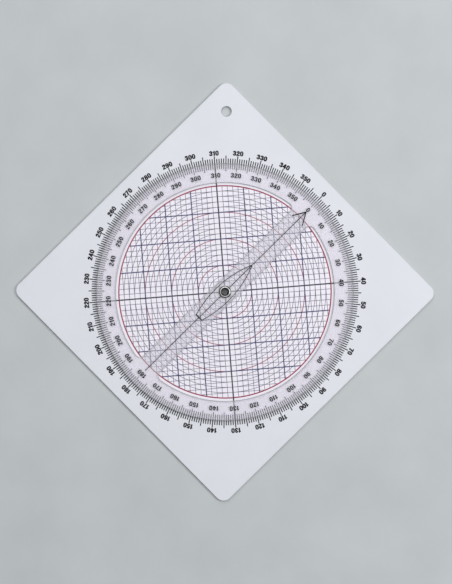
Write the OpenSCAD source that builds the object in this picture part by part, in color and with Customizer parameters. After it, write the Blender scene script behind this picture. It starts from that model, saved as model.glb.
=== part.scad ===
// Vector plotter: a square board with a compass scale, and on it a grid disc and a see-through
// rotor that turn by themselves about one hollow eyelet.
// Millimetres. The board lies on its back at z = 0 and the eyelet's axis is the Z axis.
// +Y is bearing 0, and bearings count clockwise as seen from above.

/* [Board] */
// Side of the square board
board_side = 228.6; // [222:0.2:300]
// Thickness of the board
board_t = 1.6; // [1.4:0.1:4]
// Radius of the board's corners
board_corner_r = 7; // [2:0.5:20]
// Diameter of the hole that the board hangs by
hang_hole_d = 7.9; // [4:0.1:12]
// Distance from the middle of that hole to the two edges near it
hang_hole_inset = 17.3; // [10:0.1:24]

/* [Discs] */
// Diameter of the grid disc, and of the rotor that covers it
disc_d = 195.4; // [150:0.2:206]
// Thickness of the grid disc
grid_disc_t = 0.8; // [0.5:0.1:2]
// Thickness of the rotor
rotor_t = 1; // [0.5:0.1:2]
// Running gap between one layer and the next
layer_gap = 0.15; // [0.1:0.01:0.5]

/* [Rotor windows] */
// Width of the rotor's ring, from the round edge of the windows to the rim
rotor_ring_w = 14.8; // [12:0.1:20]
// Distance from the outer grid ring to the round edge of the windows
window_margin = 2.3; // [1:0.1:4]
// Width of the bar between the two windows
bar_w = 17.4; // [14:0.2:30]
// Radius in the corners of a window
window_corner_r = 4; // [1:0.5:10]

/* [Degree scales] */
// Degrees from one mark to the next
mark_step = 1; // [1, 5]
// Width of a mark on the board
board_mark_w = 0.75; // [0.2:0.05:0.8]
// Length of a one-degree mark on the board
board_mark_1 = 3.5; // [2:0.1:5]
// Length of a five-degree mark on the board
board_mark_5 = 5.7; // [3:0.1:8]
// Length of a ten-degree mark on the board, which leaves room for its number
board_mark_10 = 5.5; // [3:0.1:8]
// Width of a mark on the rotor
rotor_mark_w = 0.4; // [0.2:0.05:0.8]
// Length of a one-degree mark on the rotor
rotor_mark_1 = 4.3; // [2:0.1:5]
// Length of a five-degree mark on the rotor
rotor_mark_5 = 6; // [3:0.1:8]
// Length of a ten-degree mark on the rotor, which leaves room for its number
rotor_mark_10 = 5.8; // [3:0.1:8]
// Bare edge between the rim of the discs and the marks on each side of it
mark_gap = 0.2; // [0.1:0.05:0.6]

/* [Plotting grid] */
// Main squares from the middle of the grid to its outer ring
main_squares = 4; // [2:1:6]
// Width of a main grid line
main_line_w = 0.8; // [0.2:0.05:1]
// Width of the two axis lines
axis_line_w = 1; // [0.2:0.05:1.2]
// Width of an inner ring
ring_w = 0.55; // [0.2:0.05:1]
// Width of the outer ring
outer_ring_w = 0.95; // [0.3:0.05:1.5]
// Bearing on the board that the grid points to
grid_bearing = 310; // [0:5:355]

/* [Rotor arrow and boat] */
// Width of the arrow's shaft and of the boat's sides
arrow_line_w = 0.5; // [0.3:0.05:1]
// Width of the bolder lines of the arrow's head and of the boat's transom
bold_line_w = 0.8; // [0.3:0.05:1.2]
// How far the arrow's tip runs past the round edge of the windows
arrow_tip_over = 3.4; // [1:0.1:5]
// How far the arrow's tail runs past that edge
arrow_tail_over = 2; // [1:0.1:5]
// Length of the arrow's head
arrow_head_l = 9.2; // [4:0.1:14]
// Width of the arrow's head
arrow_head_w = 10.6; // [6:0.1:14]
// Distance from the pivot to the boat's bow
boat_bow = 29.6; // [20:0.2:45]
// Distance from the pivot to the boat's transom
boat_stern = 28; // [20:0.2:45]
// How far behind the pivot the boat is widest
boat_beam_aft = 3; // [0:0.5:8]
// Greatest width of the boat
boat_beam = 13.6; // [10.8:0.1:14]
// Width of the boat at its transom
transom_w = 6.4; // [2:0.1:8]

/* [Pivot eyelet] */
// Diameter of the hole through the eyelet
eyelet_hole_d = 4.4; // [3:0.1:7]
// Thickness of the eyelet's metal
eyelet_wall = 0.35; // [0.25:0.05:0.6]
// Diameter of the eyelet's rolled flange
flange_d = 9.2; // [8.8:0.1:12]
// Inner radius of the curl that holds the eyelet at the back
curl_inner_r = 0.15; // [0.1:0.01:0.2]
// Diameter of the washer under the curl
washer_d = 9.6; // [9:0.1:14]
// Thickness of that washer
washer_t = 0.25; // [0.2:0.05:0.5]
// Radial clearance of the discs and the washer on the eyelet
running_fit = 0.05; // [0.02:0.01:0.1]
// Radial clearance of the eyelet in the board
eyelet_fit = 0.02; // [0.01:0.01:0.05]
// Gap under the flange, and from the curl to the surface that the board lies on
eyelet_gap = 0.1; // [0.05:0.01:0.2]
// Clearance round the washer in its recess
recess_gap = 0.4; // [0.2:0.1:1]

/* [Print] */
// Thickness of the printed ink
ink_t = 0.03; // [0.02:0.01:0.05]

/* [Hidden] */
$fn = 96;

// Extra depth of a cut, so that it leaves no skin
cut = 1;
half_side = board_side / 2;
disc_r = disc_d / 2;
window_r = disc_r - rotor_ring_w;
grid_r = window_r - window_margin;
bar_half = bar_w / 2;

// Heights of the layers, from the back of the board up
grid_disc_z = board_t + layer_gap;
grid_disc_top = grid_disc_z + grid_disc_t;
rotor_z = grid_disc_top + layer_gap;
rotor_top = rotor_z + rotor_t;

// The eyelet from its hole outwards, and the recess for its curl
hole_r = eyelet_hole_d / 2;
barrel_r = hole_r + eyelet_wall;
curl_r = curl_inner_r + eyelet_wall;
curl_z = eyelet_gap + curl_r;
recess_depth = curl_z + washer_t;
recess_r = washer_d / 2 + recess_gap;
flange_z = rotor_top + eyelet_gap;
flange_roll_r = (flange_d / 2 - hole_r) / 2;
disc_hole_r = barrel_r + running_fit;
// Ink stops short of the flange and of the holes in the discs
ink_hole_r = flange_d / 2 + mark_gap;

ink_black = [0.10, 0.10, 0.12];
ink_blue = [0.17, 0.19, 0.42];
ink_red = [0.72, 0.14, 0.24];
metal = [0.80, 0.80, 0.78];

// Length of the mark at a bearing
function mark_length(bearing, one, five, ten) =
    bearing % 10 == 0 ? ten : bearing % 5 == 0 ? five : one;

// Radius of the arc that leaves the beam line square and has come in by "inset" after "run"
function hull_arc_r(run, inset) = (run * run + inset * inset) / (2 * inset);

module rounded_square(side, r) {
    square([side, side - 2 * r], center = true);
    square([side - 2 * r, side], center = true);
    for (x = [-1, 1], y = [-1, 1])
        translate([x, y] * (side / 2 - r)) circle(r);
}

module ring(r, w) {
    difference() {
        circle(r + w / 2);
        circle(r - w / 2);
    }
}

// A straight stroke with round ends
module stroke(from, to, w) {
    run = to - from;
    translate(from) {
        rotate(atan2(run.y, run.x)) translate([0, -w / 2]) square([norm(run), w]);
        circle(w / 2);
    }
    translate(to) circle(w / 2);
}

// A film of ink lying on the face at height z
module ink(z) {
    translate([0, 0, z]) linear_extrude(ink_t) children();
}

module board() {
    color([0.88, 0.89, 0.92])
    difference() {
        linear_extrude(board_t) rounded_square(board_side, board_corner_r);
        translate([0, 0, -cut]) {
            cylinder(h = board_t + 2 * cut, r = barrel_r + eyelet_fit);
            cylinder(h = recess_depth + cut, r = recess_r);
            translate([hang_hole_inset - half_side, half_side - hang_hole_inset, 0])
                cylinder(h = board_t + 2 * cut, r = hang_hole_d / 2);
        }
    }
}

// Marks that run outwards from the rim of the discs
module board_scale() {
    color(ink_black)
    ink(board_t)
    for (bearing = [0:mark_step:360 - mark_step])
        rotate(-bearing) translate([-board_mark_w / 2, disc_r + mark_gap])
            square([board_mark_w, mark_length(bearing, board_mark_1, board_mark_5, board_mark_10)]);
}

module grid_disc() {
    color([0.95, 0.95, 0.97])
    translate([0, 0, grid_disc_z]) linear_extrude(grid_disc_t)
    difference() {
        circle(disc_r);
        circle(disc_hole_r);
    }
}

// The two lines that cross at the pivot and reach the rim, where they point to the board's scale
module axis_shape() {
    difference() {
        for (turn = [0, 90])
            rotate(turn) square([axis_line_w, 2 * (disc_r - mark_gap)], center = true);
        circle(ink_hole_r);
    }
}

// The lines of the main squares, inside the outer ring
module main_line_shape() {
    intersection() {
        circle(grid_r - outer_ring_w / 2);
        for (turn = [0:90:270], i = [1:main_squares - 1])
            rotate(turn) translate([i * grid_r / main_squares, 0])
                square([main_line_w, 2 * grid_r], center = true);
    }
}

module ring_shape() {
    for (i = [1:main_squares - 1]) ring(i * grid_r / main_squares, ring_w);
    ring(grid_r, outer_ring_w);
}

module grid_ink() {
    rotate(-grid_bearing) ink(grid_disc_top) children();
}

module grid_axis_lines() {
    color(ink_black) grid_ink() axis_shape();
}

// Where two colours cross, the darker one is printed and the other leaves room for it
module grid_main_lines() {
    color(ink_blue) grid_ink()
    difference() {
        main_line_shape();
        axis_shape();
    }
}

module grid_rings() {
    color(ink_red) grid_ink()
    difference() {
        ring_shape();
        main_line_shape();
        axis_shape();
    }
}

// One D-shaped window on the +X side of the bar, with round corners
module window_shape() {
    corner = [bar_half + window_corner_r,
              sqrt(pow(window_r - window_corner_r, 2) - pow(bar_half + window_corner_r, 2))];
    // On the line from the pivot through the middle of the corner, out past the round edge
    past_arc = corner * (window_r + cut) / (window_r - window_corner_r);
    difference() {
        intersection() {
            circle(window_r);
            translate([bar_half, -window_r]) square([window_r, 2 * window_r]);
        }
        for (side = [0, 1]) mirror([0, side])
        difference() {
            polygon([corner, [bar_half - cut, corner.y], [bar_half - cut, window_r + cut], past_arc]);
            translate(corner) circle(window_corner_r);
        }
    }
}

module rotor() {
    color([0.86, 0.86, 0.91, 0.6])
    translate([0, 0, rotor_z]) linear_extrude(rotor_t)
    difference() {
        circle(disc_r);
        circle(disc_hole_r);
        window_shape();
        mirror([1, 0]) window_shape();
    }
}

// Marks that run inwards from the rotor's rim
module rotor_scale() {
    color(ink_black)
    ink(rotor_top)
    for (bearing = [0:mark_step:360 - mark_step])
        rotate(-bearing) translate([-rotor_mark_w / 2, disc_r - mark_gap])
            mirror([0, 1])
            square([rotor_mark_w, mark_length(bearing, rotor_mark_1, rotor_mark_5, rotor_mark_10)]);
}

module arrow_shape() {
    tip = [0, window_r + arrow_tip_over];
    difference() {
        stroke([0, -window_r - arrow_tail_over], tip, arrow_line_w);
        circle(ink_hole_r);
    }
    for (side = [-1, 1])
        stroke(tip + [side * arrow_head_w / 2, -arrow_head_l], tip, bold_line_w);
}

module rotor_arrow() {
    color(ink_black) ink(rotor_top) arrow_shape();
}

// The deck line of a boat, drawn in at its sides and its stern: two arcs a side, meeting where it is widest
module boat_shape(inset, stern_inset) {
    half_beam = boat_beam / 2 - inset;
    bow_run = boat_bow + boat_beam_aft;
    stern_run = boat_stern - boat_beam_aft;
    bow_r = hull_arc_r(bow_run, boat_beam / 2) - inset;
    stern_r = hull_arc_r(stern_run, (boat_beam - transom_w) / 2) - inset;
    translate([0, -boat_beam_aft]) {
        intersection() {
            translate([-boat_beam, 0]) square([2 * boat_beam, bow_run]);
            translate([half_beam - bow_r, 0]) circle(bow_r);
            translate([bow_r - half_beam, 0]) circle(bow_r);
        }
        intersection() {
            translate([-boat_beam, stern_inset - stern_run]) square([2 * boat_beam, stern_run - stern_inset]);
            translate([half_beam - stern_r, 0]) circle(stern_r);
            translate([stern_r - half_beam, 0]) circle(stern_r);
        }
    }
}

module rotor_boat() {
    color(ink_black) ink(rotor_top)
    difference() {
        boat_shape(0, 0);
        boat_shape(arrow_line_w, bold_line_w);
        arrow_shape();
    }
}

// Half of a rolled edge in section: the upper half, or the lower half when "up" is -1
module rolled_edge(r, up) {
    intersection() {
        difference() {
            circle(r);
            circle(r - eyelet_wall);
        }
        translate([-r, up > 0 ? 0 : -r]) square([2 * r, r]);
    }
}

module pivot_eyelet() {
    color(metal)
    rotate_extrude() {
        translate([hole_r, curl_z]) square([eyelet_wall, flange_z - curl_z]);
        translate([hole_r + flange_roll_r, flange_z]) rolled_edge(flange_roll_r, 1);
        translate([hole_r + curl_r, curl_z]) rolled_edge(curl_r, -1);
    }
}

module pivot_washer() {
    color(metal)
    translate([0, 0, curl_z]) linear_extrude(washer_t)
    difference() {
        circle(washer_d / 2);
        circle(barrel_r + running_fit);
    }
}

board();
board_scale();
grid_disc();
grid_axis_lines();
grid_main_lines();
grid_rings();
rotor();
rotor_scale();
rotor_arrow();
rotor_boat();
pivot_eyelet();
pivot_washer();
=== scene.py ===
"""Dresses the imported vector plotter: a square board, a grid disc and a frosted rotor on one eyelet.

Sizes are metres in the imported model's frame. The board lies on its back at z = 0, the eyelet's axis
is Z, +Y is bearing 0, and bearings count clockwise as seen from above.
"""

import logging
import math
from abc import ABC, abstractmethod
from collections.abc import Sequence
from dataclasses import dataclass, field
from enum import Enum
from typing import Any, ClassVar

import bpy
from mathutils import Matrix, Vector
from mathutils.geometry import intersect_point_line, tessellate_polygon


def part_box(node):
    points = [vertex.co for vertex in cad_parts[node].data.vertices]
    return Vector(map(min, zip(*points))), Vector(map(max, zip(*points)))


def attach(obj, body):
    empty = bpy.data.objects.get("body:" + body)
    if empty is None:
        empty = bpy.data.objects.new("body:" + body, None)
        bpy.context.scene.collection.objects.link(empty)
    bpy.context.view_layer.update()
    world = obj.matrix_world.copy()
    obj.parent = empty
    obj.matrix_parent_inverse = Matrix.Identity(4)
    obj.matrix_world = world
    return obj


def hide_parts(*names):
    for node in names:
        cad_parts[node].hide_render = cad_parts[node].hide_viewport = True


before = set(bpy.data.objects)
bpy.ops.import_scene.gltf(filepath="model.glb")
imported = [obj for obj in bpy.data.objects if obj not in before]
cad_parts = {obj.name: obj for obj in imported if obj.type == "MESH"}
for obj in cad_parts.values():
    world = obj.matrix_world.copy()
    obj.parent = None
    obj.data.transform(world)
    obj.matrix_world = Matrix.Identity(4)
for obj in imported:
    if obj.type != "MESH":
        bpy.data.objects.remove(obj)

MM = 0.001
FULL_TURN = 2 * math.pi
BOARD_SIDE = 228.6 * MM
DISC_RADIUS = 97.7 * MM
LOG = logging.getLogger("plotter")

Point = tuple[float, float]
Loop = list[Point]
Colour = tuple[float, float, float]
Socket = bpy.types.NodeSocket


class Body(Enum):
    """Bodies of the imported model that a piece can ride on."""

    BOARD = "board"
    GRID = "grid_disc"
    ROTOR = "rotor"


class Slot(Enum):
    """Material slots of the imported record."""

    BOARD = "board_vinyl"
    GRID = "grid_sheet"
    ROTOR = "rotor_sheet"
    BLACK = "black_ink"
    BLUE = "blue_ink"
    RED = "red_ink"
    EYELET = "eyelet_metal"
    WASHER = "washer_metal"


class Rim(Enum):
    """Outline that a sheet's wear follows."""

    SQUARE = "square"
    ROUND = "round"


def heights(node: str) -> tuple[float, float]:
    """Gives the lowest and highest z of a CAD node."""
    low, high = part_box(node)
    return low.z, high.z


def on_bearing(radius: float, bearing: float) -> Point:
    """Gives the point at a radius on a bearing in degrees, clockwise from +Y."""
    turn = math.radians(bearing)
    return radius * math.sin(turn), radius * math.cos(turn)


def put(name: str, data: bpy.types.ID) -> bpy.types.Object:
    """Puts an object with the given data into the scene."""
    item = bpy.data.objects.new(name, data)
    bpy.context.scene.collection.objects.link(item)
    return item


# Outlines


class Outline(ABC):
    """A closed outline that can be drawn larger or smaller, with the same number of points."""

    @abstractmethod
    def points(self, grow: float = 0.0) -> Loop:
        """Gives the outline, counter-clockwise, moved outwards by grow."""


@dataclass(frozen=True)
class Circle(Outline):
    """A circle about the pivot, or about a middle of its own."""

    radius: float
    middle: Point = (0.0, 0.0)
    steps: int = 96

    def points(self, grow: float = 0.0) -> Loop:
        """Gives the circle with its radius changed by grow."""
        r = self.radius + grow
        turns = (FULL_TURN * i / self.steps for i in range(self.steps))
        return [(self.middle[0] + r * math.cos(a), self.middle[1] + r * math.sin(a)) for a in turns]


@dataclass(frozen=True)
class RoundedSquare(Outline):
    """A square about the pivot with round corners."""

    side: float
    corner: float
    steps: int = 16

    def points(self, grow: float = 0.0) -> Loop:
        """Gives the square with each side moved out by grow."""
        reach = self.side / 2 - self.corner
        r = self.corner + grow
        loop: Loop = []
        for quarter, (sx, sy) in enumerate(((1, 1), (-1, 1), (-1, -1), (1, -1))):
            for step in range(self.steps + 1):
                a = (quarter + step / self.steps) * math.pi / 2
                loop.append((sx * reach + r * math.cos(a), sy * reach + r * math.sin(a)))
        return loop


@dataclass(frozen=True)
class DWindow(Outline):
    """The D-shaped window on one side of the rotor's bar."""

    bar_half: float
    radius: float
    corner: float
    left: bool = False
    arc_steps: int = 160
    corner_steps: int = 16

    def points(self, grow: float = 0.0) -> Loop:
        """Gives the window's edge, moved outwards by grow."""
        cx = self.bar_half + self.corner
        cy = math.sqrt((self.radius - self.corner) ** 2 - cx ** 2)
        end = math.atan2(cy, cx)
        big, small = self.radius + grow, self.corner + grow
        loop = [
            (big * math.cos(a), big * math.sin(a))
            for a in (end * (2 * i / self.arc_steps - 1) for i in range(self.arc_steps + 1))
        ]
        for i in range(1, self.corner_steps + 1):
            a = end + (math.pi - end) * i / self.corner_steps
            loop.append((cx + small * math.cos(a), cy + small * math.sin(a)))
        for i in range(self.corner_steps):
            a = math.pi + (math.pi - end) * i / self.corner_steps
            loop.append((cx + small * math.cos(a), -cy + small * math.sin(a)))
        return [(-x, y) for x, y in reversed(loop)] if self.left else loop


# Meshes


def eased_rows(low: float, high: float, ease: float, steps: int = 4) -> list[Point]:
    """Gives the section of a sheet's edge with a small round at the bottom and the top.

    Args:
        low: Height of the sheet's lower face.
        high: Height of its upper face.
        ease: Radius of the two rounds.
        steps: Facets of each round.

    Returns:
        Pairs of the distance that the edge draws back and the height, from the bottom up.
    """
    turns = [math.pi / 2 * i / steps for i in range(steps + 1)]
    lower = [(ease * (1 - math.sin(a)), low + ease * (1 - math.cos(a))) for a in turns]
    upper = [(back, low + high - z) for back, z in reversed(lower)]
    return lower + upper


def cut_edges(low: float, high: float, ease: float) -> tuple[list[Point], list[Point]]:
    """Gives the sections of a sheet's rim and of its holes, as pairs of growth and height."""
    opened = eased_rows(low, high, ease)
    return [(-back, z) for back, z in opened], opened


@dataclass
class Mould:
    """Vertices and faces that are gathered into one mesh."""

    verts: list[tuple[float, float, float]] = field(default_factory=list)
    faces: list[tuple[int, ...]] = field(default_factory=list)
    flat_edges: set[tuple[int, int]] = field(default_factory=set)
    cut_faces: set[int] = field(default_factory=set)

    def row(self, loop: Sequence[Point], z: float) -> list[int]:
        """Adds a closed row of points at one height and gives their numbers."""
        first = len(self.verts)
        self.verts.extend((x, y, z) for x, y in loop)
        return list(range(first, len(self.verts)))

    def wall(self, lower: list[int], upper: list[int], inwards: bool = False) -> None:
        """Joins two rows by a wall that faces outwards, or inwards round a hole.

        Args:
            lower: Row at the wall's foot.
            upper: Row at its head, with as many points.
            inwards: Whether the wall faces the middle of the row.
        """
        count = len(lower)
        for i in range(count):
            j = (i + 1) % count
            face = (lower[i], lower[j], upper[j], upper[i])
            self.faces.append(face[::-1] if inwards else face)

    def cap(self, rows: Sequence[list[int]], up: bool) -> None:
        """Fills the flat face between an outer row and the rows of its holes.

        Args:
            rows: The outer row, then the holes' rows.
            up: Whether the face looks up.
        """
        numbers = [n for row in rows for n in row]
        loops = [[Vector(self.verts[n]) for n in row] for row in rows]
        for a, b, c in tessellate_polygon(loops):
            (ax, ay, _), (bx, by, _), (cx, cy, _) = (self.verts[numbers[k]] for k in (a, b, c))
            turns_left = (bx - ax) * (cy - ay) > (by - ay) * (cx - ax)
            face = (numbers[a], numbers[b], numbers[c])
            self.faces.append(face if turns_left == up else face[::-1])
        for row in rows:
            self.flat_edges.update((min(pair), max(pair)) for pair in zip(row, row[1:] + row[:1]))

    def sheet(self, edges: Sequence[tuple[Outline, list[Point], bool]]) -> None:
        """Adds a flat sheet with cut edges, which take the piece's second finish.

        Args:
            edges: The outer edge, then the holes' edges. Each has its outline, its section as
                pairs of growth and height from the bottom up, and whether it is a hole.
        """
        feet: list[list[int]] = []
        heads: list[list[int]] = []
        first = len(self.faces)
        for outline, section, hole in edges:
            rows = [self.row(outline.points(grow), z) for grow, z in section]
            for lower, upper in zip(rows, rows[1:]):
                self.wall(lower, upper, inwards=hole)
            feet.append(rows[0])
            heads.append(rows[-1])
        self.cut_faces.update(range(first, len(self.faces)))
        self.cap(feet, up=False)
        self.cap(heads, up=True)

    def film(self, loops: Sequence[Loop], low: float, high: float) -> None:
        """Adds a closed film of ink: an outer loop, less the loops of its holes.

        Args:
            loops: Counter-clockwise loops, the outer one first.
            low: Height of the face that the ink lies on.
            high: Height of the ink's top.
        """
        feet = [self.row(loop, low) for loop in loops]
        heads = [self.row(loop, high) for loop in loops]
        for n, (foot, head) in enumerate(zip(feet, heads)):
            self.wall(foot, head, inwards=n > 0)
        self.cap(feet, up=False)
        self.cap(heads, up=True)

    def turned(self, section: Sequence[Point], steps: int) -> None:
        """Adds a turned solid about Z.

        Args:
            section: Closed section as pairs of radius and height, clockwise as seen with the
                radius to the right and the height up.
            steps: Facets round the axis.
        """
        rings = [self.row(Circle(r, steps=steps).points(), z) for r, z in section]
        for ring, following in zip(rings, rings[1:] + rings[:1]):
            self.wall(ring, following, inwards=True)

    def mesh(self, name: str, crease: float = 35.0) -> bpy.types.Mesh:
        """Makes the mesh, smooth except at creases and round its flat faces.

        Args:
            name: Name of the mesh.
            crease: Angle in degrees beyond which an edge is sharp.

        Returns:
            The finished mesh.
        """
        mesh = bpy.data.meshes.new(name)
        mesh.from_pydata(self.verts, [], self.faces)
        second_finish = [int(n in self.cut_faces) for n in range(len(self.faces))]
        mesh.polygons.foreach_set("material_index", second_finish)
        mesh.validate()
        mesh.shade_smooth()
        mesh.set_sharp_from_angle(angle=math.radians(crease))
        for edge in mesh.edges:
            a, b = edge.vertices
            if (min(a, b), max(a, b)) in self.flat_edges:
                edge.use_edge_sharp = True
        mesh.update()
        return mesh


# Numbers


def distance_to(point: Vector, start: Vector, end: Vector) -> float:
    """Gives the distance from a point to a straight piece of a loop."""
    _, share = intersect_point_line(point, start, end)
    return (point - start.lerp(end, min(max(share, 0.0), 1.0))).length


def swollen(loop: Loop, by: float, sharpest: float = 0.05, room: float = 0.98) -> Loop:
    """Moves a counter-clockwise loop outwards, with mitred corners.

    Args:
        loop: Points of the loop.
        by: Distance to move it by, less than nothing to draw it in.
        sharpest: Least divisor of a mitre, so that a sharp corner doesn't run far out.
        room: Share of the distance that a moved point has to keep from every side.

    Returns:
        The moved points, without those that a narrow corner leaves no room for.
    """
    points = [Vector(point) for point in loop]
    sides = list(zip(points, points[1:] + points[:1]))
    normals = [Vector((end.y - start.y, start.x - end.x)).normalized() for start, end in sides]
    moved: Loop = []
    for n, point in enumerate(points):
        before, after = normals[n - 1], normals[n]
        spot = point + (before + after) * (by / max(1 + before.dot(after), sharpest))
        if min(distance_to(spot, *side) for side in sides) >= room * abs(by):
            moved.append((spot.x, spot.y))
    return moved


class Contour(ABC):
    """A closed contour of a digit, in thousandths of the digit's height."""

    UNITS = 1000

    @abstractmethod
    def trace(self) -> Loop:
        """Gives the contour's points in the order in which it is drawn."""

    def points(self) -> Loop:
        """Gives the contour's points in heights of the digit, counter-clockwise."""
        loop = [(x / self.UNITS, y / self.UNITS) for x, y in self.trace()]
        doubled = sum(ax * by - bx * ay for (ax, ay), (bx, by) in zip(loop, loop[1:] + loop[:1]))
        return loop if doubled > 0 else loop[::-1]


@dataclass(frozen=True)
class Oval(Contour):
    """A squarish oval, such as the counter of a zero."""

    middle: Point
    half: Point
    power: float = 2.3
    steps: int = 40

    def trace(self) -> Loop:
        """Gives the oval's points."""
        loop: Loop = []
        for i in range(self.steps):
            c, s = (f(FULL_TURN * i / self.steps) for f in (math.cos, math.sin))
            x = math.copysign(abs(c) ** (2 / self.power), c)
            y = math.copysign(abs(s) ** (2 / self.power), s)
            loop.append((self.middle[0] + self.half[0] * x, self.middle[1] + self.half[1] * y))
        return loop


@dataclass(frozen=True)
class Stroke(Contour):
    """A contour of straight and curved moves: two numbers are a line's end, six are a curve."""

    start: Point
    moves: tuple[tuple[float, ...], ...]
    steps: int = 9

    def trace(self) -> Loop:
        """Gives the contour's points, with each curve cut into short lines."""
        loop = [self.start]
        for move in self.moves:
            ax, ay = loop[-1]
            if len(move) == 2:
                loop.append((move[0], move[1]))
                continue
            bx, by, cx, cy, dx, dy = move
            for i in range(1, self.steps + 1):
                t = i / self.steps
                u = 1 - t
                k = (u * u * u, 3 * u * u * t, 3 * u * t * t, t * t * t)
                loop.append((k[0] * ax + k[1] * bx + k[2] * cx + k[3] * dx,
                             k[0] * ay + k[1] * by + k[2] * cy + k[3] * dy))
        return loop


@dataclass(frozen=True)
class Digit:
    """One digit of the plotter's plain bold face, with its width in heights of the digit."""

    width: float
    outline: Contour
    counters: tuple[Contour, ...] = ()

    def loops(self, weight: float) -> list[Loop]:
        """Gives the outline's loop, then the loops of the counters, all made bolder by a weight."""
        counters = (swollen(counter.points(), -weight) for counter in self.counters)
        return [swollen(self.outline.points(), weight), *counters]

    def upside_down(self, weight: float) -> list[Loop]:
        """Gives the loops turned by half a turn, as a six becomes a nine."""
        return [[(self.width - x, 1 - y) for x, y in loop] for loop in self.loops(weight)]


class DigitFace:
    """A plain bold face for the numbers on the scales."""

    ZERO = Digit(0.58, Oval((290, 500), (275, 510), power=2.5), (Oval((290, 500), (98, 360), power=2.4),))
    ONE = Digit(0.40, Stroke((150, 0), (
        (340, 0), (340, 1000), (205, 1000), (190, 880, 125, 820, 20, 815), (20, 680), (150, 680))))
    TWO = Digit(0.56, Stroke((35, 655), (
        (35, 870, 135, 1010, 290, 1010), (440, 1010, 540, 890, 540, 715), (540, 575, 470, 480, 385, 400),
        (320, 340, 265, 280, 245, 170), (540, 170), (540, 0), (15, 0), (20, 220, 105, 345, 215, 445),
        (300, 520, 345, 590, 345, 700), (345, 790, 325, 850, 285, 850), (235, 850, 222, 780, 222, 655))))
    THREE = Digit(0.58, Stroke((30, 690), (
        (35, 890, 135, 1010, 290, 1010), (440, 1010, 540, 905, 540, 745), (540, 640, 500, 565, 425, 525),
        (520, 480, 560, 400, 560, 285), (560, 105, 450, -10, 290, -10), (130, -10, 20, 100, 15, 310),
        (200, 310), (203, 205, 230, 150, 288, 150), (345, 150, 370, 205, 370, 290),
        (370, 395, 335, 440, 225, 440), (225, 585), (320, 585, 352, 625, 352, 715),
        (352, 800, 330, 855, 285, 855), (235, 855, 215, 805, 212, 690))))
    FOUR = Digit(0.59, Stroke((295, 1000), (
        (480, 1000), (480, 385), (570, 385), (570, 225), (480, 225), (480, 0), (295, 0), (295, 225),
        (15, 225), (15, 395))),
        (Stroke((295, 385), ((295, 730), (150, 385))),))
    FIVE = Digit(0.58, Stroke((95, 1000), (
        (520, 1000), (520, 835), (235, 835), (222, 640), (255, 670, 295, 685, 340, 685),
        (475, 685, 560, 560, 560, 350), (560, 130, 455, -10, 285, -10), (130, -10, 20, 90, 15, 275),
        (200, 275), (205, 195, 235, 150, 285, 150), (345, 150, 372, 215, 372, 335),
        (372, 455, 345, 520, 285, 520), (245, 520, 218, 495, 205, 450), (45, 460))))
    SIX = Digit(0.58, Stroke((540, 735), (
        (530, 910, 440, 1010, 300, 1010), (120, 1010, 20, 840, 20, 490), (20, 150, 115, -10, 295, -10),
        (455, -10, 560, 120, 560, 330), (560, 525, 470, 645, 335, 645), (280, 645, 235, 620, 205, 575),
        (208, 770, 235, 860, 300, 860), (335, 860, 355, 815, 360, 735))),
        (Oval((293, 318), (85, 178)),))
    SEVEN = Digit(0.55, Stroke((20, 1000), (
        (535, 1000), (535, 850), (400, 640, 320, 350, 300, 0), (110, 0), (130, 330, 210, 610, 345, 830),
        (20, 830))))
    EIGHT = Digit(0.58, Stroke((290, 1010), (
        (440, 1010, 535, 905, 535, 750), (535, 645, 495, 570, 425, 525), (515, 480, 565, 395, 565, 280),
        (565, 105, 455, -10, 290, -10), (125, -10, 15, 105, 15, 280), (15, 395, 65, 480, 155, 525),
        (85, 570, 45, 645, 45, 750), (45, 905, 140, 1010, 290, 1010))),
        (Oval((290, 738), (78, 128)), Oval((290, 285), (92, 152))))

    def __init__(self, weight: float, stretch: float, gap: float) -> None:
        """Draws the ten digits once, a nine being a six upside down.

        Args:
            weight: How far each edge is moved out to make the digits bolder, in heights.
            stretch: Factor on the digits' width.
            gap: Space between two digits, in heights.
        """
        drawn = (self.ZERO, self.ONE, self.TWO, self.THREE, self.FOUR, self.FIVE, self.SIX,
                 self.SEVEN, self.EIGHT)
        self.stretch = stretch
        self.gap = gap
        self.glyphs = [(digit.width * stretch, digit.loops(weight)) for digit in drawn]
        self.glyphs.append((self.SIX.width * stretch, self.SIX.upside_down(weight)))

    def line(self, number: int) -> list[list[Loop]]:
        """Sets a number on a line.

        Args:
            number: The number to set.

        Returns:
            The loops of each digit in heights of a digit, with the number's middle at the origin.
        """
        chosen = [self.glyphs[int(figure)] for figure in str(number)]
        pen = -(sum(width for width, _ in chosen) + self.gap * (len(chosen) - 1)) / 2
        placed: list[list[Loop]] = []
        for width, loops in chosen:
            placed.append([[(pen + x * self.stretch, y - 0.5) for x, y in loop] for loop in loops])
            pen += width + self.gap
        return placed


@dataclass(frozen=True)
class NumberRing:
    """A ring of bearings that stand with their tops outwards."""

    radius: float
    height: float
    weight: float
    stretch: float
    gap: float
    step: int = 10

    def mould(self, low: float, high: float) -> Mould:
        """Prints the ring's numbers.

        Args:
            low: Height of the sheet that carries them.
            high: Height of the ink's top.

        Returns:
            The films of ink of all the digits.
        """
        mould = Mould()
        face = DigitFace(self.weight, self.stretch, self.gap)
        for bearing in range(0, 360, self.step):
            ux, uy = on_bearing(1.0, bearing)
            for digit in face.line(bearing):
                mould.film([
                    [(ux * (self.radius + y * self.height) + uy * x * self.height,
                      uy * (self.radius + y * self.height) - ux * x * self.height) for x, y in loop]
                    for loop in digit
                ], low, high)
        return mould


# Finishes


@dataclass(frozen=True)
class Mottle:
    """Patches of noise: none of them below a low level of the noise, all of them above a high level."""

    size: float
    detail: float
    low: float
    high: float
    stretch: float = 1.0


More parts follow.
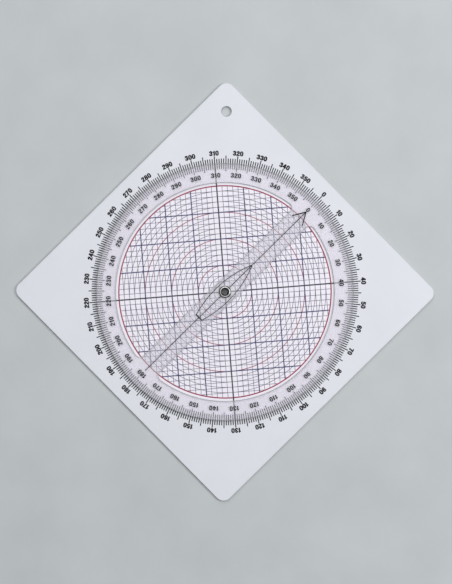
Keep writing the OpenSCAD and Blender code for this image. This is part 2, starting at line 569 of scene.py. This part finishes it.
class Shader:
    """A material in the making: a Principled surface and short ways to feed it."""

    # Levels that most of a noise lies between.
    NOISE_LEVELS = (0.3, 0.7)
    NOISE_ROUGHNESS = 0.55
    # Places of the colour sockets on a Mix node.
    MIX_ENDS = (6, 7)
    MIX_RESULT = 2

    def __init__(self, name: str) -> None:
        """Starts a material whose surface is wired to its output."""
        self.material = bpy.data.materials.new(name)
        self.material.use_nodes = True
        self.tree = self.material.node_tree
        self.tree.nodes.clear()
        self.surface = self.add("ShaderNodeBsdfPrincipled")
        self.feed(self.add("ShaderNodeOutputMaterial"), Surface=self.surface.outputs["BSDF"])
        self.place = self.add("ShaderNodeTexCoord").outputs["Object"]

    def add(self, kind: str, **settings: Any) -> bpy.types.Node:
        """Adds a node and sets its options."""
        node = self.tree.nodes.new(kind)
        for key, value in settings.items():
            setattr(node, key, value)
        return node

    def feed(self, node: bpy.types.Node, **inputs: Any) -> bpy.types.Node:
        """Sets a node's inputs, or links them where a socket is given.

        Args:
            node: Node to feed.
            inputs: Values by input name, with _ for a space.

        Returns:
            The same node.
        """
        for key, value in inputs.items():
            socket = node.inputs[key.replace("_", " ")]
            if isinstance(value, Socket):
                self.tree.links.new(value, socket)
            else:
                socket.default_value = value
        return node

    def noise(self, size: float, detail: float = 2.0, stretch: float = 1.0, turn: float = 0.0) -> Socket:
        """Adds noise with features of a given size.

        Args:
            size: Size of a feature in metres.
            detail: Octaves of finer noise.
            stretch: How many times longer a feature is than it is wide.
            turn: Direction of the long side in degrees.

        Returns:
            The noise, about 0.5 on average.
        """
        place = self.place
        if stretch != 1.0:
            mapping = self.feed(
                self.add("ShaderNodeMapping"), Vector=place,
                Rotation=(0.0, 0.0, math.radians(-turn)), Scale=(1 / stretch, 1.0, 1.0),
            )
            place = mapping.outputs["Vector"]
        node = self.feed(
            self.add("ShaderNodeTexNoise"), Vector=place,
            Scale=1 / size, Detail=detail, Roughness=self.NOISE_ROUGHNESS,
        )
        return node.outputs[0]

    def mottle(self, mottle: Mottle, none: float = 0.0, full: float = 1.0, turn: float = 0.0) -> Socket:
        """Adds patches of noise, with one value between them and another in them."""
        noise = self.noise(mottle.size, mottle.detail, mottle.stretch, turn)
        return self.span(noise, mottle.low, mottle.high, none, full)

    def lines(self, across: Socket, size: float, detail: float) -> Socket:
        """Adds fine lines of a width in metres: noise that changes along one measure only."""
        node = self.add("ShaderNodeTexNoise", noise_dimensions="1D")
        return self.feed(node, W=across, Scale=1 / size, Detail=detail).outputs[0]

    def span(
        self, value: Socket, low: float, high: float, to_low: float = 0.0, to_high: float = 1.0
    ) -> Socket:
        """Maps low..high of a value to to_low..to_high, and clamps it."""
        node = self.feed(
            self.add("ShaderNodeMapRange"), Value=value,
            From_Min=low, From_Max=high, To_Min=to_low, To_Max=to_high,
        )
        return node.outputs[0]

    def reckon(self, operation: str, a: Socket, b: Socket | float = 0.0) -> Socket:
        """Adds a step of arithmetic on one value or two."""
        node = self.add("ShaderNodeMath", operation=operation)
        self.tree.links.new(a, node.inputs[0])
        if isinstance(b, Socket):
            self.tree.links.new(b, node.inputs[1])
        else:
            node.inputs[1].default_value = b
        return node.outputs[0]

    def blend(self, share: Socket, first: Socket | Colour, second: Socket | Colour) -> Socket:
        """Mixes two colours by a share from 0 to 1."""
        node = self.add("ShaderNodeMix", data_type="RGBA")
        self.tree.links.new(share, node.inputs[0])
        for place, colour in zip(self.MIX_ENDS, (first, second)):
            socket = node.inputs[place]
            if isinstance(colour, Socket):
                self.tree.links.new(colour, socket)
            else:
                socket.default_value = (*colour, 1.0)
        return node.outputs[self.MIX_RESULT]

    def bump(self, height: Socket, depth: float) -> None:
        """Gives the surface a relief of a depth in metres."""
        node = self.feed(self.add("ShaderNodeBump"), Strength=1.0, Distance=depth, Height=height)
        self.feed(self.surface, Normal=node.outputs["Normal"])

    def axes(self) -> tuple[Socket, Socket, Socket]:
        """Gives x, y and z of the place on the piece."""
        node = self.feed(self.add("ShaderNodeSeparateXYZ"), Vector=self.place)
        return node.outputs[0], node.outputs[1], node.outputs[2]

    def radius(self) -> Socket:
        """Gives the distance from the eyelet's axis."""
        flat = self.feed(self.add("ShaderNodeMapping"), Vector=self.place, Scale=(1.0, 1.0, 0.0))
        length = self.add("ShaderNodeVectorMath", operation="LENGTH")
        self.tree.links.new(flat.outputs["Vector"], length.inputs[0])
        return length.outputs["Value"]

    def reach(self, rim: Rim) -> Socket:
        """Gives how far out a place is, measured as the sheet's rim runs."""
        if rim is Rim.ROUND:
            return self.radius()
        x, y, _ = self.axes()
        return self.reckon("MAXIMUM", self.reckon("ABSOLUTE", x), self.reckon("ABSOLUTE", y))


@dataclass(frozen=True)
class Finish(ABC):
    """A finish that can be made into a material."""

    name: str
    tone: Colour

    @abstractmethod
    def paint(self, shader: Shader) -> None:
        """Feeds the surface of the finish's material."""

    def material(self) -> bpy.types.Material:
        """Makes the finish's material."""
        shader = Shader(self.name)
        self.paint(shader)
        return shader.material


@dataclass(frozen=True)
class SheetFinish(Finish):
    """Satin plastic sheet with a fine grain, faint scuffs, and a little wear along its rim."""

    soiled: Colour
    rim: Rim
    rim_at: float
    gloss: tuple[float, float] = (0.36, 0.50)
    grain: float = 0.7 * MM
    grain_depth: float = 0.012 * MM
    alpha: float = 1.0
    soil: Mottle = Mottle(45 * MM, 4.0, 0.38, 0.68)
    soil_share: float = 0.5
    flecks: Mottle = Mottle(1.6 * MM, 3.0, 0.62, 0.74)
    fleck_share: float = 0.175
    wear: Mottle = Mottle(6 * MM, 3.0, 0.42, 0.66)
    wear_reach: float = 2.2 * MM
    scuffs: Mottle = Mottle(0.35 * MM, 1.0, 0.70, 0.78, stretch=90.0)
    scuff_turns: tuple[float, ...] = (24.0, 71.0, 143.0)
    scuff_roughness: float = 0.12
    scuff_share: float = 0.5
    sheen: Mottle = Mottle(9 * MM, 3.0, *Shader.NOISE_LEVELS)

    def paint(self, shader: Shader) -> None:
        """Feeds the sheet's surface."""
        tone = shader.blend(shader.mottle(self.soil, full=self.soil_share), self.tone, self.soiled)
        tone = shader.blend(shader.mottle(self.flecks, full=self.fleck_share), tone, self.soiled)
        near_rim = shader.span(shader.reach(self.rim), self.rim_at - self.wear_reach, self.rim_at)
        worn = shader.reckon("MULTIPLY", near_rim, shader.mottle(self.wear))
        tone = shader.blend(worn, tone, self.soiled)
        scuff, *others = (shader.mottle(self.scuffs, turn=turn) for turn in self.scuff_turns)
        for other in others:
            scuff = shader.reckon("MAXIMUM", scuff, other)
        rough = shader.mottle(self.sheen, *self.gloss)
        rougher = shader.reckon("MULTIPLY", scuff, self.scuff_roughness)
        shader.feed(
            shader.surface, Base_Color=tone, Alpha=self.alpha,
            Roughness=shader.reckon("ADD", rough, rougher),
        )
        furrow = shader.reckon("MULTIPLY", scuff, self.scuff_share)
        shader.bump(shader.reckon("SUBTRACT", shader.noise(self.grain), furrow), self.grain_depth)


@dataclass(frozen=True)
class CutEdgeFinish(Finish):
    """The edge that a cutting tool leaves on a sheet: duller, with fine drag lines along the cut.

    Its tone may be set dark as painted shade, for the shadow line along a sheet's cut edge. A sheet with a
    straight bar along +Y can have a lighter painted shade on the bar's edges.
    """

    streak: Colour
    alpha: float = 1.0
    polished: Colour | None = None
    polished_to: float = 0.0
    fade: float = 2.0 * MM
    drag: float = 0.09 * MM
    drag_depth: float = 0.01 * MM
    patch: float = 2.5 * MM
    streak_levels: tuple[float, float] = (0.7, 1.3)
    gloss: tuple[float, float] = (0.45, 0.6)

    def paint(self, shader: Shader) -> None:
        """Feeds the cut edge's surface."""
        x, _, z = shader.axes()
        drag = shader.lines(z, self.drag, detail=2.0)
        patch = shader.noise(self.patch, detail=3.0)
        streaked = shader.span(shader.reckon("ADD", drag, patch), *self.streak_levels)
        tone = shader.blend(streaked, self.tone, self.streak)
        # Near the bar's edges the painted shade is lighter.
        if self.polished:
            aside = shader.reckon("ABSOLUTE", x)
            beyond = shader.span(aside, self.polished_to, self.polished_to + self.fade)
            tone = shader.blend(beyond, self.polished, tone)
        shader.feed(
            shader.surface, Base_Color=tone, Alpha=self.alpha,
            Roughness=shader.span(patch, *Shader.NOISE_LEVELS, *self.gloss),
        )
        shader.bump(drag, self.drag_depth)


@dataclass(frozen=True)
class InkFinish(Finish):
    """Screen-printed ink, a little uneven in density, with a soft sheen."""

    thin: Colour
    sheen: float = 0.5
    gloss: tuple[float, float] = (0.38, 0.55)
    gloss_patches: Mottle = Mottle(1.1 * MM, 2.0, *Shader.NOISE_LEVELS)
    thin_patches: Mottle = Mottle(3.5 * MM, 3.0, 0.40, 0.72)
    screen_marks: Mottle = Mottle(0.28 * MM, 1.0, 0.55, 0.75)
    screen_share: float = 0.5
    relief: float = 0.22 * MM
    relief_depth: float = 0.004 * MM

    def paint(self, shader: Shader) -> None:
        """Feeds the ink's surface."""
        marks = shader.mottle(self.screen_marks, full=self.screen_share)
        thinned = shader.reckon("MAXIMUM", shader.mottle(self.thin_patches), marks)
        tone = shader.blend(thinned, self.tone, self.thin)
        rough = shader.mottle(self.gloss_patches, *self.gloss)
        shader.feed(shader.surface, Base_Color=tone, Roughness=rough, Specular_IOR_Level=self.sheen)
        shader.bump(shader.noise(self.relief, detail=1.0), self.relief_depth)


@dataclass(frozen=True)
class MetalFinish(Finish):
    """Metal with fine marks that run round the axis, in its own tone within a band and darker outside it.

    On the eyelet the darkening outside the band is painted shade: the dark reflections and contact shadow on
    the flange's outer flank, and the shade in the bore.
    """

    dulled: Colour
    tarnish: Colour
    gloss: tuple[float, float]
    bright_band: tuple[float, float]
    fade: float = 0.3 * MM
    dulling: Mottle = Mottle(1.3 * MM, 3.0, 0.45, 0.7)
    turning: float = 0.06 * MM
    turning_depth: float = 0.004 * MM
    rough_levels: tuple[float, float] = (0.3, 1.4)

    def paint(self, shader: Shader) -> None:
        """Feeds the metal's surface."""
        dull = shader.mottle(self.dulling)
        radius = shader.radius()
        inner, outer = self.bright_band
        within = shader.span(radius, inner, inner - self.fade)
        beyond = shader.span(radius, outer, outer + self.fade)
        # Outside the band the tone turns dark: on the eyelet this is painted shade on the flange's outer
        # flank and in the bore.
        tarnish_and_shade_mask = shader.reckon("MAXIMUM", within, beyond)
        band_tone = shader.blend(dull, self.tone, self.dulled)
        rings = shader.lines(radius, self.turning, detail=1.0)
        shader.feed(
            shader.surface, Metallic=1.0, Base_Color=shader.blend(tarnish_and_shade_mask, band_tone, self.tarnish),
            Roughness=shader.span(shader.reckon("ADD", dull, rings), *self.rough_levels, *self.gloss),
        )
        shader.bump(rings, self.turning_depth)


@dataclass(frozen=True)
class FloorFinish(Finish):
    """Plain pale tabletop with a soft mottle."""

    clouded: Colour
    clouds: Mottle = Mottle(60 * MM, 4.0, 0.35, 0.7)
    roughness: float = 0.75
    grain: float = 0.9 * MM
    grain_depth: float = 0.03 * MM

    def paint(self, shader: Shader) -> None:
        """Feeds the tabletop's surface."""
        tone = shader.blend(shader.mottle(self.clouds), self.tone, self.clouded)
        shader.feed(shader.surface, Base_Color=tone, Roughness=self.roughness)
        shader.bump(shader.noise(self.grain), self.grain_depth)


class Palette:
    """The plotter's finishes, each made into one material that its pieces share."""

    VINYL = SheetFinish(
        "white_vinyl", (0.692, 0.706, 0.756), (0.648, 0.662, 0.708), Rim.SQUARE, BOARD_SIDE / 2
    )
    VINYL_EDGE = CutEdgeFinish("vinyl_cut_edge", (0.62, 0.64, 0.67), (0.54, 0.56, 0.58))
    GRID_SHEET = SheetFinish(
        "grid_white", (0.822, 0.792, 0.866), (0.792, 0.757, 0.836), Rim.ROUND, DISC_RADIUS
    )
    # The grid disc's cut edge is white plastic; its darker tone is painted shade, the thin shadow line at the
    # discs' rim.
    GRID_EDGE = CutEdgeFinish("grid_edge_painted_shade", (0.50, 0.50, 0.54), (0.38, 0.38, 0.42))
    FROSTED = SheetFinish(
        "frosted_sheet", (0.81, 0.80, 0.86), (0.76, 0.74, 0.81), Rim.ROUND, DISC_RADIUS,
        gloss=(0.30, 0.44), grain=0.35 * MM, grain_depth=0.010 * MM, alpha=0.2,
    )
    # The dark tone of the rotor's cut edges is painted shade: the thin shadow line along the rim, the windows
    # and the bar. The bar's edges get a paler painted shade.
    FROSTED_EDGE = CutEdgeFinish(
        "frosted_edge_painted_shade", (0.37, 0.39, 0.40), (0.27, 0.285, 0.29), alpha=0.9,
        polished=(0.56, 0.565, 0.60), polished_to=9.4 * MM,
    )
    BLACK = InkFinish("black_print", (0.010, 0.010, 0.013), (0.021, 0.020, 0.026), sheen=0.1)
    AXIS = InkFinish("axis_print", (0.050, 0.047, 0.058), (0.078, 0.074, 0.088), sheen=0.1)
    BLUE = InkFinish("blue_print", (0.030, 0.034, 0.11), (0.05, 0.055, 0.16))
    FINE = InkFinish("fine_print", (0.060, 0.054, 0.095), (0.10, 0.09, 0.15))
    RED = InkFinish("red_print", (0.26, 0.024, 0.056), (0.33, 0.048, 0.092))
    # The near-black tone outside the band is painted shade on the eyelet's outer flank and in its bore,
    # standing in for dark reflections and contact shadow.
    NICKEL = MetalFinish(
        "bright_nickel", (0.72, 0.71, 0.70), dulled=(0.50, 0.49, 0.48), tarnish=(0.045, 0.043, 0.042),
        gloss=(0.22, 0.36), bright_band=(3.4 * MM, 3.75 * MM),
    )
    STEEL = MetalFinish(
        "stamped_steel", (0.58, 0.58, 0.58), dulled=(0.42, 0.41, 0.40), tarnish=(0.30, 0.29, 0.28),
        gloss=(0.30, 0.50), bright_band=(3.6 * MM, 4.6 * MM),
    )
    TABLETOP = FloorFinish("pale_tabletop", (0.50, 0.53, 0.54), (0.46, 0.49, 0.50))

    def __init__(self) -> None:
        """Starts with no material made."""
        self.made: dict[Finish, bpy.types.Material] = {}

    def get(self, finish: Finish) -> bpy.types.Material:
        """Gives a finish's material, and makes it the first time."""
        if finish not in self.made:
            self.made[finish] = finish.material()
        return self.made[finish]


# Sub-assemblies


@dataclass
class Assembly(ABC):
    """A set of pieces that ride on one body of the plotter.

    Its finishes name each piece and each CAD node that it dresses, with the finish of the faces and,
    where a sheet was cut, that of the cut edges.
    """

    body: ClassVar[Body]
    finishes: ClassVar[dict[str, tuple[Finish, ...]]]
    made: dict[str, bpy.types.Object] = field(default_factory=dict, init=False)

    @abstractmethod
    def build(self) -> None:
        """Builds the set's pieces."""

    def add(self, name: str, mould: Mould, slot: Slot, *stands_for: str) -> None:
        """Turns a mould into a piece that rides on the body.

        Args:
            name: Name of the piece.
            mould: Its vertices and faces.
            slot: Record slot that its finish belongs to; not used.
            stands_for: CAD nodes that it replaces.
        """
        piece = put(name, mould.mesh(name))
        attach(piece, self.body.value)
        if stands_for:
            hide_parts(*stands_for)
        self.made[name] = piece
        LOG.info("%s rides on %s: %d faces", name, self.body.value, len(piece.data.polygons))

    def dress(self, palette: Palette) -> None:
        """Gives every piece and CAD node of the set its material."""
        for name, finishes in self.finishes.items():
            piece = self.made.get(name)
            if piece is None:
                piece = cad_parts[name]
                piece.data.materials.clear()
            for finish in finishes:
                piece.data.materials.append(palette.get(finish))
                LOG.info("%s is finished in %s", name, finish.name)


@dataclass
class Board(Assembly):
    """The square vinyl board with its hang hole, the pivot's recess and the outer scale."""

    body = Body.BOARD
    finishes = {
        "board_plate": (Palette.VINYL, Palette.VINYL_EDGE),
        "board_numbers": (Palette.BLACK,),
        "board_scale": (Palette.BLACK,),
    }
    side: float = BOARD_SIDE
    corner: float = 7 * MM
    ease: float = 0.3 * MM
    hang_hole: Circle = Circle(3.95 * MM, middle=(-97 * MM, 97 * MM), steps=64)
    pivot_hole: Circle = Circle(2.57 * MM)
    recess_radius: float = 5.2 * MM
    recess_depth: float = 0.85 * MM
    numbers: NumberRing = NumberRing(105.6 * MM, 3.46 * MM, weight=0.042, stretch=1.225, gap=0.08)
    ink: float = 0.02 * MM

    def build(self) -> None:
        """Builds the board and the numbers of its scale."""
        low, high = heights("board")
        drawn_in, opened = cut_edges(low, high, self.ease)
        half = len(opened) // 2
        wider = self.recess_radius - self.pivot_hole.radius
        stepped = [(wider + back, z) for back, z in opened[:half]]
        stepped += [(wider, low + self.recess_depth), (0.0, low + self.recess_depth)]
        stepped += opened[half:]
        mould = Mould()
        mould.sheet([
            (RoundedSquare(self.side, self.corner), drawn_in, False),
            (self.hang_hole, opened, True),
            (self.pivot_hole, stepped, True),
        ])
        self.add("board_plate", mould, Slot.BOARD, "board")
        self.add("board_numbers", self.numbers.mould(high, high + self.ink), Slot.BLACK)


@dataclass
class GridDisc(Assembly):
    """The white disc with the plotting grid."""

    body = Body.GRID
    finishes = {
        "grid_sheet": (Palette.GRID_SHEET, Palette.GRID_EDGE),
        "grid_fine_lines": (Palette.FINE,),
        "grid_red_rings": (Palette.RED,),
        "grid_main_lines": (Palette.BLUE,),
        "grid_axis_lines": (Palette.AXIS,),
    }
    rim: Circle = Circle(DISC_RADIUS, steps=360)
    hole: Circle = Circle(2.6 * MM)
    ease: float = 0.15 * MM
    grid_radius: float = 80.6 * MM
    main_squares: int = 4
    fine_squares: int = 5
    bearing: float = 310.0
    fine_width: float = 0.36 * MM
    ring_width: float = 0.55 * MM
    outer_ring_width: float = 0.95 * MM
    hub: float = 4.8 * MM
    fine_passes: tuple[float, float, float] = (0.012 * MM, 0.0114 * MM, 0.0108 * MM)
    ring_ink: float = 0.022 * MM

    def band(self, radius: float, width: float) -> list[Loop]:
        """Gives the two loops of a printed ring."""
        return [Circle(radius + side * width / 2, steps=self.rim.steps).points() for side in (1, -1)]

    def bar(self, offset: float, start: float, end: float, turn: float) -> Loop:
        """Gives the loop of a fine line.

        Args:
            offset: Distance of the line from the pivot.
            start: Where it starts along its own direction.
            end: Where it ends.
            turn: Bearing of its direction in degrees.

        Returns:
            The four corners, counter-clockwise.
        """
        ux, uy = on_bearing(1.0, turn)
        half = self.fine_width / 2
        corners = ((offset - half, start), (offset + half, start), (offset + half, end), (offset - half, end))
        return [(uy * x + ux * y, -ux * x + uy * y) for x, y in corners]

    def fine_grid(self, low: float) -> Mould:
        """Prints the fine squares and the fine rings, all but those where main lines and red rings run.

        Each pass of ink is a little thinner than the one before, so that no two tops lie level where
        they cross.

        Args:
            low: Height of the disc's upper face.

        Returns:
            The films of ink.
        """
        mould = Mould()
        count = self.main_squares * self.fine_squares
        pitch = self.grid_radius / count
        inside = self.grid_radius - self.outer_ring_width / 2
        up_ink, across_ink, ring_ink = self.fine_passes
        for i in range(1, count):
            if i % self.fine_squares == 0:
                continue
            end = math.sqrt(inside ** 2 - (i * pitch) ** 2)
            for side in (1, -1):
                for turn, ink in ((self.bearing, up_ink), (self.bearing + 90, across_ink)):
                    mould.film([self.bar(side * i * pitch, -end, end, turn)], low, low + ink)
            if i * pitch > self.hub:
                mould.film(self.band(i * pitch, self.fine_width), low, low + ring_ink)
        return mould

    def red_rings(self, low: float) -> Mould:
        """Prints the red rings, under the main lines.

        Args:
            low: Height of the disc's upper face.

        Returns:
            The films of ink.
        """
        mould = Mould()
        pitch = self.grid_radius / self.main_squares
        for i in range(1, self.main_squares + 1):
            width = self.outer_ring_width if i == self.main_squares else self.ring_width
            mould.film(self.band(i * pitch, width), low, low + self.ring_ink)
        return mould

    def build(self) -> None:
        """Builds the disc and the print that lies under its main lines."""
        low, high = heights("grid_disc")
        drawn_in, opened = cut_edges(low, high, self.ease)
        disc = Mould()
        disc.sheet([(self.rim, drawn_in, False), (self.hole, opened, True)])
        self.add("grid_sheet", disc, Slot.GRID, "grid_disc")
        self.add("grid_fine_lines", self.fine_grid(high), Slot.BLUE)
        self.add("grid_red_rings", self.red_rings(high), Slot.RED, "grid_rings")


@dataclass
class Rotor(Assembly):
    """The frosted rotor with its two windows, the inner scale, the arrow and the boat."""

    body = Body.ROTOR
    finishes = {
        "rotor_sheet": (Palette.FROSTED, Palette.FROSTED_EDGE),
        "rotor_numbers": (Palette.BLACK,),
        "rotor_scale": (Palette.BLACK,),
        "rotor_arrow": (Palette.BLACK,),
        "rotor_boat": (Palette.BLACK,),
    }
    rim: Circle = Circle(DISC_RADIUS, steps=360)
    hole: Circle = Circle(2.6 * MM)
    window_radius: float = 82.9 * MM
    bar_half: float = 8.7 * MM
    window_corner: float = 4 * MM
    ease: float = 0.28 * MM
    numbers: NumberRing = NumberRing(88.65 * MM, 3.46 * MM, weight=0.004, stretch=1.2, gap=0.1)
    ink: float = 0.02 * MM

    def build(self) -> None:
        """Builds the rotor's sheet and the numbers of its scale."""
        low, high = heights("rotor")
        drawn_in, opened = cut_edges(low, high, self.ease)
        windows = [
            DWindow(self.bar_half, self.window_radius, self.window_corner, left) for left in (False, True)
        ]
        mould = Mould()
        mould.sheet([
            (self.rim, drawn_in, False),
            (self.hole, opened, True),
            *((window, opened, True) for window in windows),
        ])
        self.add("rotor_sheet", mould, Slot.ROTOR, "rotor")
        self.add("rotor_numbers", self.numbers.mould(high, high + self.ink), Slot.BLACK)


@dataclass
class Pivot(Assembly):
    """The hollow eyelet that the discs turn on, and the washer that its curled end bears on."""

    body = Body.BOARD
    finishes = {"eyelet": (Palette.NICKEL,), "washer": (Palette.STEEL,)}
    hole: float = 2.2 * MM
    wall: float = 0.35 * MM
    flange_radius: float = 4.6 * MM
    curl_inner: float = 0.15 * MM
    lip_drop: float = 0.05 * MM
    washer_clearance: float = 0.05 * MM
    washer_ease: float = 0.06 * MM
    steps: int = 128
    arc_steps: int = 20

    def arc(self, middle: Point, half: Point, start: float, end: float) -> list[Point]:
        """Gives points on an arc in section.

        Args:
            middle: Radius and height of the arc's middle.
            half: Its half width and half height.
            start: Angle in degrees that it starts at.
            end: Angle in degrees that it ends at.

        Returns:
            Pairs of radius and height, without the last one.
        """
        turns = (math.radians(start + (end - start) * i / self.arc_steps) for i in range(self.arc_steps))
        return [(middle[0] + half[0] * math.cos(a), middle[1] + half[1] * math.sin(a)) for a in turns]

    def eyelet_section(self) -> list[Point]:
        """Gives the eyelet's section: a rolled flange, the barrel and the curl at the back."""
        low, high = heights("pivot_eyelet")
        roll = (self.flange_radius - self.hole) / 2
        flange = (self.hole + roll, high - roll)
        curl_outer = self.curl_inner + self.wall
        curl = (self.hole + curl_outer, low + curl_outer)
        lip = (self.flange_radius - self.wall / 2, flange[1])
        section = self.arc(flange, (roll, roll), 180, 0)
        section += self.arc(lip, (self.wall / 2, self.lip_drop), 0, -180)
        section += self.arc(flange, (roll - self.wall, roll - self.wall), 0, 180)
        section += self.arc(curl, (self.curl_inner, self.curl_inner), 180, 360)
        section.append((curl[0] + self.curl_inner, curl[1]))
        section += self.arc(curl, (curl_outer, curl_outer), 360, 180)
        section.append((self.hole, curl[1]))
        return section

    def build(self) -> None:
        """Builds the eyelet and its washer."""
        eyelet = Mould()
        eyelet.turned(self.eyelet_section(), self.steps)
        self.add("eyelet", eyelet, Slot.EYELET, "pivot_eyelet")
        low, high = heights("pivot_washer")
        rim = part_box("pivot_washer")[1].x
        inner = self.hole + self.wall + self.washer_clearance
        rows = eased_rows(low, high, self.washer_ease)
        section = [(inner + back, z) for back, z in rows]
        section += [(rim - back, z) for back, z in reversed(rows)]
        washer = Mould()
        washer.turned(section, self.steps)
        self.add("washer", washer, Slot.WASHER, "pivot_washer")


# Studio


@dataclass(frozen=True)
class Softbox:
    """A square soft lamp, placed by the picture's own right and up."""

    name: str
    right: float
    up: float
    height: float
    size: float
    watts: float


@dataclass
class Studio:
    """The tabletop, the lamps and the camera that looks straight down."""

    picture_height: int = 584
    pixel: float = 0.76 * MM
    lens: float = 100.0
    sensor: float = 36.0
    up_bearing: float = -45.42
    pixels_right: float = 1.0
    pixels_down: float = 0.1
    floor_side: float = 9.0
    floor_drop: float = 0.2 * MM
    ceiling_light: float = 0.75
    wall_light: float = 0.08
    wall_top: float = 0.25
    backdrop_light: float = 0.72
    room_tint: Colour = (0.97, 0.985, 1.0)
    boxes: tuple[Softbox, ...] = (
        Softbox("right_lamp", right=1.35, up=0.1, height=1.2, size=0.7, watts=15.5),
        Softbox("top_lamp", right=-0.2, up=1.3, height=1.4, size=1.8, watts=18.0),
    )

    def spot(self, right: float, up: float, z: float) -> Vector:
        """Gives the place that lies right and up of the pivot in the picture."""
        rx, ry = on_bearing(right, self.up_bearing + 90)
        ux, uy = on_bearing(up, self.up_bearing)
        return Vector((rx + ux, ry + uy, z))

    def build(self, palette: Palette) -> None:
        """Sets up the tabletop, the light and the camera."""
        self.lay_floor(palette.get(Palette.TABLETOP))
        self.hang_lamps()
        self.light_world()
        self.place_camera()
        bpy.context.scene.view_settings.view_transform = "Standard"

    def lay_floor(self, material: bpy.types.Material) -> None:
        """Lays the tabletop just under the board."""
        half = self.floor_side / 2
        mesh = bpy.data.meshes.new("tabletop")
        corners = [(x * half, y * half, -self.floor_drop) for x, y in ((-1, -1), (1, -1), (1, 1), (-1, 1))]
        mesh.from_pydata(corners, [], [(0, 1, 2, 3)])
        mesh.materials.append(material)
        floor = put("tabletop", mesh)

    def hang_lamps(self) -> None:
        """Hangs the soft lamps and points them at the pivot."""
        for box in self.boxes:
            data = bpy.data.lights.new(box.name, "AREA")
            data.size = box.size
            data.energy = box.watts
            lamp = put(box.name, data)
            lamp.location = self.spot(box.right, box.up, box.height)
            lamp.rotation_euler = (-lamp.location).to_track_quat("-Z", "Y").to_euler()

    def light_world(self) -> None:
        """Gives the room a pale ceiling and darker walls, which the metal shows, and a plain backdrop."""
        world = bpy.data.worlds.new("room")
        world.use_nodes = True
        nodes, links = world.node_tree.nodes, world.node_tree.links
        split = nodes.new("ShaderNodeSeparateXYZ")
        links.new(nodes.new("ShaderNodeTexCoord").outputs["Generated"], split.inputs[0])
        height = nodes.new("ShaderNodeMapRange")
        height.interpolation_type = "SMOOTHSTEP"
        height.inputs["From Min"].default_value = self.wall_top
        height.inputs["To Min"].default_value = self.wall_light
        height.inputs["To Max"].default_value = self.ceiling_light
        links.new(split.outputs["Z"], height.inputs["Value"])
        seen = nodes.new("ShaderNodeMix")
        share, lit, plain = seen.inputs[0], seen.inputs[2], seen.inputs[3]
        links.new(nodes.new("ShaderNodeLightPath").outputs["Is Camera Ray"], share)
        links.new(height.outputs[0], lit)
        plain.default_value = self.backdrop_light
        background = nodes["Background"]
        background.inputs["Color"].default_value = (*self.room_tint, 1.0)
        links.new(seen.outputs[0], background.inputs["Strength"])
        bpy.context.scene.world = world

    def place_camera(self) -> None:
        """Places the camera over the board, turned so that the board lies as a diamond."""
        data = bpy.data.cameras.new("overhead")
        data.lens = self.lens
        data.sensor_width = self.sensor
        camera = put("overhead", data)
        distance = self.picture_height * self.pixel * self.lens / self.sensor
        camera.location = self.spot(
            self.pixels_right * self.pixel, -self.pixels_down * self.pixel, heights("board")[1] + distance
        )
        camera.rotation_euler = (0.0, 0.0, math.radians(-self.up_bearing))
        bpy.context.scene.camera = camera


def main() -> None:
    """Builds and dresses the plotter from the board up, then sets up the studio."""
    logging.basicConfig(level=logging.INFO, format="%(name)s: %(message)s")
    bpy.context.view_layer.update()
    palette = Palette()
    assemblies: tuple[Assembly, ...] = (Board(), GridDisc(), Rotor(), Pivot())
    for assembly in assemblies:
        assembly.build()
        assembly.dress(palette)
    Studio().build(palette)


if __name__ == "__main__":
    main()
